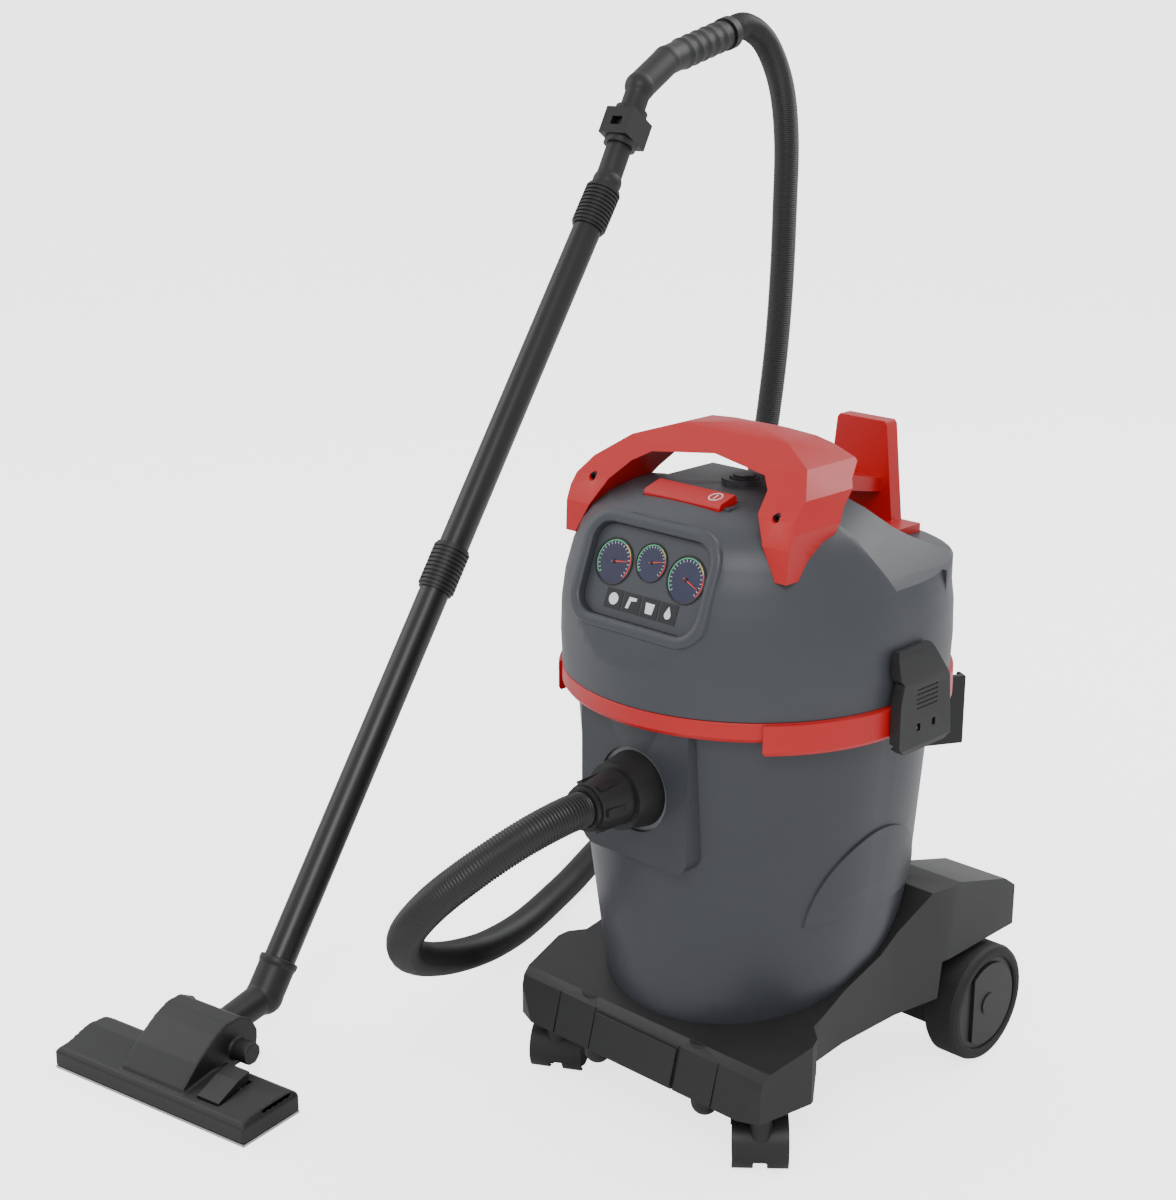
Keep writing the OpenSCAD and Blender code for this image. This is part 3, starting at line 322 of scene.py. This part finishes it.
def moulding(name, base, rough, grain=1400.0, bump=0.18, tone=0.1, dust=0.05, metallic=0.0,
             stretch=1.0, coat=0.0):
    """A moulded or worked surface with grain, tone changes and a little dust."""
    material = bpy.data.materials.new(name)
    material.use_nodes = True
    nodes, links = material.node_tree.nodes, material.node_tree.links
    shader = nodes["Principled BSDF"]
    shader.inputs["Metallic"].default_value = metallic
    shader.inputs["Coat Weight"].default_value = coat
    surface = nodes.new("ShaderNodeGroup")
    surface.node_tree = grain_group()
    surface.inputs["Grain Scale"].default_value = grain
    surface.inputs["Stretch"].default_value = stretch
    ramp = nodes.new("ShaderNodeValToRGB")
    ramp.color_ramp.elements[0].position = 0.3
    ramp.color_ramp.elements[1].position = 0.7
    ramp.color_ramp.elements[0].color = (*[c * (1 - tone) for c in base], 1)
    ramp.color_ramp.elements[1].color = (*[min(1, c * (1 + tone)) for c in base], 1)
    links.new(surface.outputs["Tone"], ramp.inputs["Fac"])
    dusty = nodes.new("ShaderNodeMix")
    dusty.data_type = "RGBA"
    dusty.inputs[7].default_value = (0.4, 0.4, 0.39, 1)
    amount = nodes.new("ShaderNodeMath")
    amount.operation = "MULTIPLY"
    amount.inputs[1].default_value = dust
    links.new(surface.outputs["Dust"], amount.inputs[0])
    links.new(amount.outputs[0], dusty.inputs[0])
    links.new(ramp.outputs["Color"], dusty.inputs[6])
    links.new(dusty.outputs[2], shader.inputs["Base Color"])
    gloss = nodes.new("ShaderNodeMapRange")
    gloss.inputs["To Min"].default_value = max(0.04, rough - 0.07)
    gloss.inputs["To Max"].default_value = min(1, rough + 0.09)
    links.new(surface.outputs["Tone"], gloss.inputs["Value"])
    links.new(gloss.outputs["Result"], shader.inputs["Roughness"])
    relief = nodes.new("ShaderNodeBump")
    relief.inputs["Strength"].default_value = bump
    relief.inputs["Distance"].default_value = 0.0002
    links.new(surface.outputs["Height"], relief.inputs["Height"])
    links.new(relief.outputs["Normal"], shader.inputs["Normal"])
    return material


FINISHES = {}


def finish(slot):
    """The material of one finish, made the first time it is asked for."""
    if slot not in FINISHES:
        paint = bpy.context.scene.shopvac_colours
        recipes = {
            "body_grey": (tuple(paint.shell), 0.42, {"tone": 0.06, "dust": 0.06}),
            "tank_grey": (tuple(paint.tank), 0.4, {"grain": 1100, "tone": 0.06, "dust": 0.04}),
            "signal_red": (tuple(paint.red), 0.36, {"bump": 0.12, "tone": 0.05, "dust": 0.03}),
            "black_plastic": (tuple(paint.black), 0.46, {"tone": 0.12, "dust": 0.06}),
            "wand_black": (tuple(paint.black), 0.33, {"bump": 0.08, "tone": 0.1}),
            "hose_black": (tuple(paint.black), 0.4, {"grain": 900, "bump": 0.1}),
            "tyre_rubber": (tuple(paint.rubber), 0.68, {"grain": 700, "bump": 0.35, "dust": 0.15}),
            "steel": ((0.55, 0.55, 0.56), 0.32, {"metallic": 1.0, "stretch": 0.03, "grain": 900}),
            # near-black metal on the handle screws is painted shade of the holes they sit in, not
            # the screws' own steel colour
            "screw_black": ((0.02, 0.02, 0.021), 0.35, {"metallic": 1.0, "tone": 0.2}),
            "pale_plastic": (tuple(paint.pale), 0.4, {"tone": 0.05}),
            "filter_paper": ((0.78, 0.74, 0.62), 0.9, {"grain": 500, "bump": 0.5, "tone": 0.08}),
            "bristle": ((0.03, 0.03, 0.03), 0.7, {"grain": 1500, "bump": 0.9, "stretch": 0.05}),
            "dial": (tuple(paint.dial), 0.22, {"tone": 0.5, "bump": 0.02, "coat": 0.6}),
            "dial_green": ((0.08, 0.5, 0.2), 0.4, {}),
            "dial_amber": ((0.75, 0.6, 0.1), 0.4, {}),
            "dial_red": ((0.8, 0.04, 0.03), 0.4, {}),
            "print_white": ((0.8, 0.81, 0.82), 0.45, {"tone": 0.03}),
            "tile_black": ((0.015, 0.015, 0.018), 0.35, {"tone": 0.15}),
        }
        base, rough, extra = recipes[slot]
        FINISHES[slot] = moulding(slot, base, rough, **extra)
    return FINISHES[slot]


# ---- Hose ----

def spline_point(a, b, c, d, t):
    return 0.5 * (2 * b + (c - a) * t + (2 * a - 5 * b + 4 * c - d) * t * t
                  + (3 * b - 3 * c + d - a) * t ** 3)


def hose_line(steps=40):
    """Close points along the hose's centreline."""
    knots = [Vector(p) + PLACE for p in HOSE_ROUTE]
    knots = [2 * knots[0] - knots[1]] + knots + [2 * knots[-1] - knots[-2]]
    line = []
    for i in range(1, len(knots) - 2):
        for j in range(steps):
            line.append(spline_point(*knots[i - 1:i + 3], j / steps))
    line.append(knots[-2])
    return line


def along(line, spacing):
    """Points at even distances along a line of close points, and the line's length."""
    runs = [0.0]
    for a, b in zip(line, line[1:]):
        runs.append(runs[-1] + (b - a).length)
    count = max(2, round(runs[-1] / spacing))
    points, k = [], 0
    for i in range(count + 1):
        s = runs[-1] * i / count
        while k < len(runs) - 2 and runs[k + 1] < s:
            k += 1
        t = (s - runs[k]) / (runs[k + 1] - runs[k])
        points.append(line[k].lerp(line[k + 1], t))
    return points, runs[-1]


class SHOPVAC_OT_hose(bpy.types.Operator):
    """Make the corrugated suction hose from the cuff to the hand tube"""
    bl_idname = "shopvac.hose"
    bl_label = "Hose"

    def execute(self, context):
        sizes = context.scene.shopvac_sizes
        steps, sides = 4, 20
        points, total = along(hose_line(), sizes.hose_pitch / steps)
        outer, depth = sizes.hose_diameter / 2, 0.0011
        wave = (0.0, 0.75 * depth, depth, 0.25 * depth)
        bm = bmesh.new()
        rings, bore, side = [], [], Vector((1, 0, 0))
        last = len(points) - 1
        for i, p in enumerate(points):
            ahead = (points[min(i + 1, last)] - points[max(i - 1, 0)]).normalized()
            side = (side - side.dot(ahead) * ahead).normalized()
            across = ahead.cross(side)
            radius = outer - wave[i % steps]
            turns = [math.tau * k / sides for k in range(sides)]
            rings.append([bm.verts.new(p + radius * (math.cos(a) * side + math.sin(a) * across))
                          for a in turns])
            if i in (0, last):
                bore.append([bm.verts.new(p + sizes.hose_bore / 2
                                          * (math.cos(a) * side + math.sin(a) * across))
                             for a in turns])
        for here, there in zip(rings, rings[1:]):
            for k in range(sides):
                n = (k + 1) % sides
                bm.faces.new((here[k], there[k], there[n], here[n]))
        for ring, inner in ((rings[0], bore[0]), (rings[-1], bore[1])):
            for k in range(sides):
                n = (k + 1) % sides
                bm.faces.new((ring[k], ring[n], inner[n], inner[k]))
            bm.faces.new(inner)
        bmesh.ops.recalc_face_normals(bm, faces=bm.faces)
        mesh = from_bmesh(bm, "suction_hose", 60)
        hose = new_piece("suction_hose", mesh, "machine", "hose_black", finish("hose_black"))
        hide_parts("hose")
        path, _ = along(hose_line(), 0.01)
        return {"FINISHED"}


# ---- Stage ----

def seen_light(tree, cast, seen, socket):
    """Strength of a surface that lights the object by one amount and shows by another."""
    ray = tree.nodes.new("ShaderNodeLightPath")
    amount = tree.nodes.new("ShaderNodeMapRange")
    amount.inputs["To Min"].default_value = cast
    amount.inputs["To Max"].default_value = seen
    tree.links.new(ray.outputs["Is Camera Ray"], amount.inputs["Value"])
    tree.links.new(amount.outputs["Result"], socket)


class SHOPVAC_OT_stage(bpy.types.Operator):
    """Set up the camera, the pale floor and the soft studio lights"""
    bl_idname = "shopvac.stage"
    bl_label = "Camera and lights"

    def execute(self, context):
        scene = context.scene
        lens = bpy.data.cameras.new("camera")
        lens.sensor_fit = "VERTICAL"
        lens.sensor_height = 36
        lens.lens = 63
        lens.clip_end = 200
        camera = bpy.data.objects.new("camera", lens)
        camera.location = Vector((1.3675, -1.66, 1.2283)) + PLACE
        camera.rotation_euler = Euler((math.radians(72.792), 0, math.radians(44.065)))
        scene.collection.objects.link(camera)
        scene.camera = camera
        floor_mesh = bpy.data.meshes.new("floor")
        half, under = 80.0, -0.0006
        floor_mesh.from_pydata(
            [(-half, -half, under), (half, -half, under), (half, half, under),
             (-half, half, under)], [], [(0, 1, 2, 3)])
        floor = bpy.data.objects.new("floor", floor_mesh)
        scene.collection.objects.link(floor)
        floor_mesh.materials.append(moulding(
            "floor_paint", tuple(scene.shopvac_colours.floor), 0.75, grain=60, bump=0.02,
            tone=0.01, dust=0.0))
        floor_shader = floor_mesh.materials[0].node_tree
        floor_shader.nodes["Principled BSDF"].inputs["Emission Color"].default_value = (1, 1, 1, 1)
        seen_light(floor_shader, 0.0, 2.4,
                   floor_shader.nodes["Principled BSDF"].inputs["Emission Strength"])
        world = bpy.data.worlds.new("studio")
        scene.world = world
        world.use_nodes = True
        sky = world.node_tree.nodes["Background"]
        sky.inputs["Color"].default_value = (0.97, 0.98, 1.0, 1)
        seen_light(world.node_tree, 0.85, 3.6, sky.inputs["Strength"])
        for name, place, power, size in (
                ("key", (1.9, -2.6, 3.1), 62, 1.6), ("fill", (-2.8, -1.4, 2.2), 26, 2.2),
                ("back", (0.6, 2.8, 2.9), 50, 2.2)):
            light = bpy.data.lights.new(name, "AREA")
            light.energy = power
            light.size = size
            lamp = bpy.data.objects.new(name, light)
            lamp.location = place
            aim = Vector((0, 0, 0.5)) - Vector(place)
            lamp.rotation_euler = aim.to_track_quat("-Z", "Y").to_euler()
            scene.collection.objects.link(lamp)
        return {"FINISHED"}


# ---- Body ----

class SHOPVAC_OT_finishes(bpy.types.Operator):
    """Give every CAD piece the material of its finish"""
    bl_idname = "shopvac.finishes"
    bl_label = "Finishes"

    def execute(self, context):
        # the handle screws take a near-black finish that paints the shade of their holes
        special = {"upper_tube": "wand_black", "lower_tube": "wand_black",
                   "handle_screws": "screw_black"}
        for node, thing in NODES.items():
            slot = special.get(node, SLOT_OF[node])
            if not thing.material_slots:
                thing.data.materials.append(finish(slot))
            for holder in thing.material_slots:
                holder.material = finish(slot)
        return {"FINISHED"}


class SHOPVAC_OT_shells(bpy.types.Operator):
    """Round the edges of the head, rim, chassis and other large mouldings"""
    bl_idname = "shopvac.shells"
    bl_label = "Shells"

    def execute(self, context):
        edge = context.scene.shopvac_sizes.shell_edge
        rounded("head_cover", edge)
        rounded("rim_ring", 0.0012)
        rounded("chassis", 0.002)
        rounded("skirt_panel", 0.0012)
        rounded("control_panel", 0.0004, segments=2)
        rounded("switch_rocker", 0.0016)
        return {"FINISHED"}


class SHOPVAC_OT_mouldings(bpy.types.Operator):
    """Soften the handle, post, latches, grip and nozzle as single mouldings"""
    bl_idname = "shopvac.mouldings"
    bl_label = "Mouldings"

    def execute(self, context):
        for node, edge in (("handle", 0.0035), ("hook_post", 0.0025), ("latch_left", 0.0015),
                           ("latch_right", 0.0015), ("parking_bracket", 0.0015),
                           ("air_slide", 0.0025), ("pedal", 0.0012)):
            rounded(node, edge)
        for node, voxel, smoothing in (
                ("handle_tube", 0.0014, 8), ("nozzle_neck", 0.0014, 6),
                ("nozzle_body", 0.0014, 4)):
            moulded(node, voxel, smoothing)
        return {"FINISHED"}


# ---- Control panel ----

def panel_place():
    """The control panel's middle and slope."""
    low, high = (Vector(c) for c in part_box("control_panel"))
    turn = Matrix.Rotation(math.pi / 2 - PANEL_TILT, 4, "X")
    return Matrix.Translation((low + high) / 2) @ turn


def put_on_panel(bm, name, x, y, material, slot="body_grey", z=0.0):
    """A piece from a bmesh, laid on the control panel at x, y and z of its own."""
    bmesh.ops.transform(bm, matrix=panel_place() @ Matrix.Translation((x, y, z)), verts=bm.verts)
    mesh = from_bmesh(bm, name)
    return new_piece(name, mesh, "head", slot, finish(material))


def marks_tree():
    """Geometry nodes: marks along an arc, each turned to its centre."""
    name = "dial_marks"
    if name in bpy.data.node_groups:
        return bpy.data.node_groups[name]
    tree = bpy.data.node_groups.new(name, "GeometryNodeTree")
    face = tree.interface
    for label, kind, default in (
            ("Radius", "NodeSocketFloat", 0.02), ("Count", "NodeSocketInt", 21),
            ("Start", "NodeSocketFloat", -0.6), ("Sweep", "NodeSocketFloat", 4.2),
            ("Mark", "NodeSocketVector", (0.002, 0.0004, 0.0003)),
            ("Material", "NodeSocketMaterial", None)):
        socket = face.new_socket(label, in_out="INPUT", socket_type=kind)
        if default is not None:
            socket.default_value = default
    face.new_socket("Geometry", in_out="OUTPUT", socket_type="NodeSocketGeometry")
    nodes, links = tree.nodes, tree.links
    given = nodes.new("NodeGroupInput")
    out = nodes.new("NodeGroupOutput")
    arc = nodes.new("GeometryNodeCurveArc")
    arc.mode = "RADIUS"
    links.new(given.outputs["Count"], arc.inputs["Resolution"])
    links.new(given.outputs["Radius"], arc.inputs["Radius"])
    links.new(given.outputs["Start"], arc.inputs["Start Angle"])
    links.new(given.outputs["Sweep"], arc.inputs["Sweep Angle"])
    block = nodes.new("GeometryNodeMeshCube")
    links.new(given.outputs["Mark"], block.inputs["Size"])
    spot = nodes.new("GeometryNodeInputPosition")
    face_in = nodes.new("FunctionNodeAlignEulerToVector")
    face_in.axis = "X"
    links.new(spot.outputs[0], face_in.inputs["Vector"])
    copies = nodes.new("GeometryNodeInstanceOnPoints")
    links.new(arc.outputs["Curve"], copies.inputs["Points"])
    links.new(block.outputs["Mesh"], copies.inputs["Instance"])
    links.new(face_in.outputs[0], copies.inputs["Rotation"])
    real = nodes.new("GeometryNodeRealizeInstances")
    links.new(copies.outputs[0], real.inputs[0])
    paint = nodes.new("GeometryNodeSetMaterial")
    links.new(real.outputs[0], paint.inputs["Geometry"])
    links.new(given.outputs["Material"], paint.inputs["Material"])
    links.new(paint.outputs[0], out.inputs[0])
    return tree


def repeated(tree, **values):
    """The plain mesh that a geometry nodes tree makes with these inputs."""
    work = bpy.data.objects.new("work", bpy.data.meshes.new("work"))
    bpy.context.scene.collection.objects.link(work)
    modifier = work.modifiers.new("repeat", "NODES")
    modifier.node_group = tree
    for item in tree.interface.items_tree:
        if item.item_type == "SOCKET" and item.in_out == "INPUT" and item.name in values:
            modifier[item.identifier] = values[item.name]
    evaluated = work.evaluated_get(bpy.context.evaluated_depsgraph_get())
    mesh = bpy.data.meshes.new_from_object(evaluated)
    work.modifiers.clear()
    bpy.data.objects.remove(work)
    return mesh


def gauge(name, x, y, diameter, needle_turn):
    """One dial: face, rim, coloured bands, marks, needle and cap."""
    r = diameter / 2
    z = PANEL_FACE
    put_on_panel(turned([(0, 0), (r * 0.93, 0), (r * 0.93, 0.0006), (0, 0.0006)]),
                 name + "_face", x, y, "dial", z=z)
    put_on_panel(turned([(r * 0.93, 0), (r, 0), (r, 0.0012), (r * 0.97, 0.0015),
                         (r * 0.93, 0.0012)]), name + "_rim", x, y, "black_plastic", z=z)
    for part, start, end, material in (
            ("_low", 60, 220, "dial_green"), ("_mid", 25, 60, "dial_amber"),
            ("_high", -40, 25, "dial_red")):
        band = arc_band(r * 0.86, r * 0.9, start, end, 0.0006, 0.00085)
        put_on_panel(band, name + part, x, y, material, z=z)
    marks = repeated(marks_tree(), Radius=r * 0.78, Count=21, Start=math.radians(-40),
                     Sweep=math.radians(260), Mark=(r * 0.1, r * 0.018, 0.0003),
                     Material=finish("print_white"))
    marks.transform(panel_place() @ Matrix.Translation((x, y, z + 0.0008)))
    marks.name = name + "_marks"
    new_piece(name + "_marks", marks, "head", "body_grey", finish("print_white"))
    needle = prism([(-r * 0.14, -r * 0.035), (r * 0.72, -r * 0.012), (r * 0.72, r * 0.012),
                    (-r * 0.14, r * 0.035)], 0.0010, 0.0013)
    bmesh.ops.rotate(needle, matrix=Matrix.Rotation(math.radians(needle_turn), 3, "Z"),
                     verts=needle.verts)
    put_on_panel(needle, name + "_needle", x, y, "dial_red", z=z)
    put_on_panel(turned([(0, 0.0009), (r * 0.09, 0.0009), (r * 0.08, 0.0018), (0, 0.002)], 24),
                 name + "_cap", x, y, "tile_black", z=z)


class SHOPVAC_OT_control_panel(bpy.types.Operator):
    """Make the three gauges and the row of pictogram tiles"""
    bl_idname = "shopvac.control_panel"
    bl_label = "Control panel"

    def bezel(self):
        """A soft raised lip around the recess."""
        wide, high, corner, lip = 0.0845, 0.0535, 0.0275, 0.0065
        outset, rise = 0.0012, 0.0026
        inner_foot, outer_foot, seat = -0.004, -0.008, 0.0082
        line = []
        for cx, cy, turn in ((1, 1, 0), (-1, 1, 90), (-1, -1, 180), (1, -1, 270)):
            for k in range(13):
                a = math.radians(turn + 7.5 * k)
                line.append((cx * (wide - corner) + corner * math.cos(a),
                             cy * (high - corner) + corner * math.sin(a), a))
        profile = [(lip * (0.5 - 0.5 * math.cos(math.pi * k / 6)) * 2 - lip,
                    rise * math.sin(math.pi * k / 6)) for k in range(7)]
        profile = [(-lip, inner_foot)] + profile + [(lip, outer_foot)]
        profile = [(d + outset, h) for d, h in profile]
        bm = bmesh.new()
        rings = [[bm.verts.new((x + d * math.cos(a), y + d * math.sin(a), h))
                  for d, h in profile] for x, y, a in line]
        for i, here in enumerate(rings):
            there = rings[(i + 1) % len(rings)]
            for k in range(len(profile)):
                n = (k + 1) % len(profile)
                bm.faces.new((here[k], here[n], there[n], there[k]))
        bmesh.ops.recalc_face_normals(bm, faces=bm.faces)
        put_on_panel(bm, "panel_bezel", 0, 0, "body_grey", z=seat)

    def execute(self, context):
        sizes = context.scene.shopvac_sizes
        self.bezel()
        gauge("gauge_left", -0.049, 0.0085, sizes.large_dial, 8)
        gauge("gauge_middle", 0.0, 0.0165, sizes.small_dial, 12)
        gauge("gauge_right", 0.049, 0.0085, sizes.large_dial, -22)
        wide, high, step = TILE_WIDE, TILE_HIGH, TILE_WIDE + TILE_GAP
        for i in range(4):
            outline = [(-wide / 2, -high / 2), (wide / 2, -high / 2), (wide / 2, high / 2),
                       (-wide / 2, high / 2)]
            put_on_panel(prism(outline, 0, 0.0005), f"tile_{i}", (i - 1.5) * step, TILE_ROW,
                         "tile_black", z=PANEL_FACE)
        marks = {
            "mark_disc": (-1.5, [(0.0062 * math.cos(a), 0.0062 * math.sin(a))
                                 for a in [math.tau * k / 24 for k in range(24)]]),
            "mark_hose": (-0.5, [(-0.007, -0.006), (-0.003, -0.006), (-0.001, 0.002),
                                 (0.006, 0.003), (0.006, 0.006), (-0.004, 0.006)]),
            "mark_tank": (0.5, [(-0.0045, -0.006), (0.0045, -0.006), (0.006, 0.005),
                                (-0.006, 0.005)]),
            "mark_drop": (1.5, [(0, 0.007)] + [
                (0.0042 * math.cos(a), -0.0018 + 0.0042 * math.sin(a))
                for a in [math.radians(20 - 220 * k / 16) for k in range(17)]]),
        }
        for name, (column, outline) in marks.items():
            put_on_panel(prism(outline, 0.0005, 0.0008), name, column * step, TILE_ROW,
                         "print_white", z=PANEL_FACE)
        return {"FINISHED"}


class SHOPVAC_OT_switch_mark(bpy.types.Operator):
    """Print the on and off mark on the rocker switch"""
    bl_idname = "shopvac.switch_mark"
    bl_label = "Switch mark"

    def execute(self, context):
        low, high = (Vector(c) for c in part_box("switch_rocker"))
        place = Vector((low.x + MARK_ACROSS * (high.x - low.x), (low.y + high.y) / 2, 0))
        top = high.z - MARK_SINK
        slope = Matrix.Rotation(ROCKER_SLOPE, 4, "X")
        wide, long = BAR_HALF_WIDE, BAR_HALF_LONG
        for name, bm in (("switch_ring", arc_band(RING_IN, RING_OUT, 0, 359.9, 0, PRINT, 40)),
                         ("switch_bar", prism([(-wide, -long), (wide, -long), (wide, long),
                                               (-wide, long)], 0, PRINT))):
            spot = Matrix.Translation((place.x, place.y, top)) @ slope
            bmesh.ops.transform(bm, matrix=spot, verts=bm.verts)
            new_piece(name, from_bmesh(bm, name), "rocker", "signal_red", finish("print_white"))
        return {"FINISHED"}


# ---- Panel and registration ----

STEPS = (
    SHOPVAC_OT_stage, SHOPVAC_OT_hose, SHOPVAC_OT_finishes, SHOPVAC_OT_shells,
    SHOPVAC_OT_mouldings, SHOPVAC_OT_control_panel, SHOPVAC_OT_switch_mark,
)


class SHOPVAC_PT_panel(bpy.types.Panel):
    """Lists the steps that finish the shop vacuum"""
    bl_label = "Shop Vacuum"
    bl_idname = "SHOPVAC_PT_panel"
    bl_space_type = "VIEW_3D"
    bl_region_type = "UI"
    bl_category = "Shop Vacuum"

    def draw(self, context):
        column = self.layout.column()
        for step in STEPS:
            column.operator(step.bl_idname)
        for group in (context.scene.shopvac_colours, context.scene.shopvac_sizes):
            for key in group.bl_rna.properties.keys():
                if key not in ("rna_type", "name"):
                    column.prop(group, key)


CLASSES = (ShopVacColours, ShopVacSizes, *STEPS, SHOPVAC_PT_panel)


def register():
    for cls in CLASSES:
        bpy.utils.register_class(cls)
    bpy.types.Scene.shopvac_colours = bpy.props.PointerProperty(type=ShopVacColours)
    bpy.types.Scene.shopvac_sizes = bpy.props.PointerProperty(type=ShopVacSizes)


def unregister():
    del bpy.types.Scene.shopvac_sizes
    del bpy.types.Scene.shopvac_colours
    for cls in reversed(CLASSES):
        bpy.utils.unregister_class(cls)


def main():
    register()
    bpy.ops.shopvac.stage()
    bpy.ops.shopvac.hose()
    bpy.ops.shopvac.finishes()
    bpy.ops.shopvac.shells()
    bpy.ops.shopvac.mouldings()
    bpy.ops.shopvac.control_panel()
    bpy.ops.shopvac.switch_mark()


if __name__ == "__main__":
    main()
